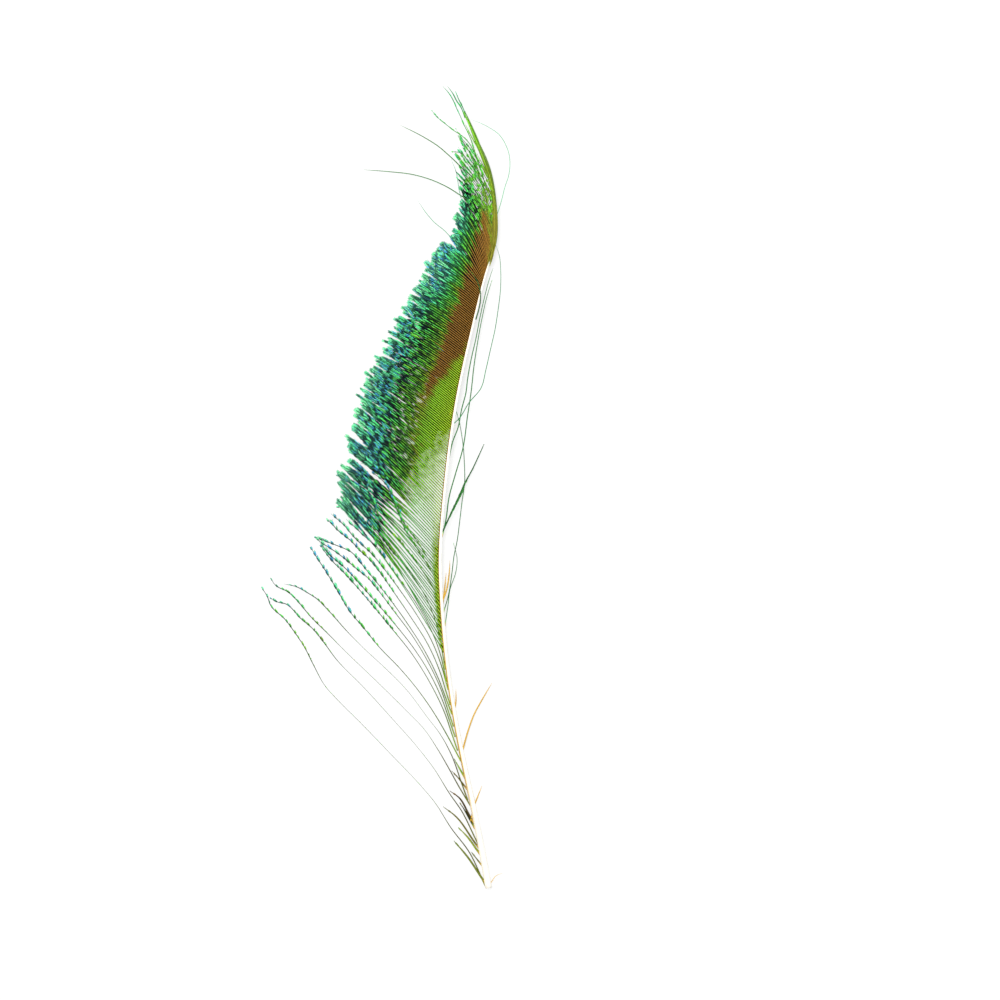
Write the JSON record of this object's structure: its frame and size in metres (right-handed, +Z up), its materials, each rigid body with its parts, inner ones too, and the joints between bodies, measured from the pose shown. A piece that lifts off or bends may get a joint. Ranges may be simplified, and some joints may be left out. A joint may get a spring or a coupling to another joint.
{
  "type": "peacock feather",
  "caption": "Natural peacock side-tail feather lying flat, with a slim curved quill, a dense one-sided green and brown vane, teal edges and long loose lower strands.",
  "frame": {"origin": "middle of the feather's box at the height of the surface it lies on", "axes": "+Y from the cut quill to the tip, +Z up from the surface, +X to the bare side of the shaft"},
  "size_m": [0.1053, 0.3377, 0.0051],
  "materials": {
    "vane": "soft iridescent barbs, brown near the shaft, green across and teal to blue at the edge",
    "shaft": "smooth satin keratin"
  },
  "bodies": {
    "root": {"feather": "vane"}
  },
  "joints": []
}
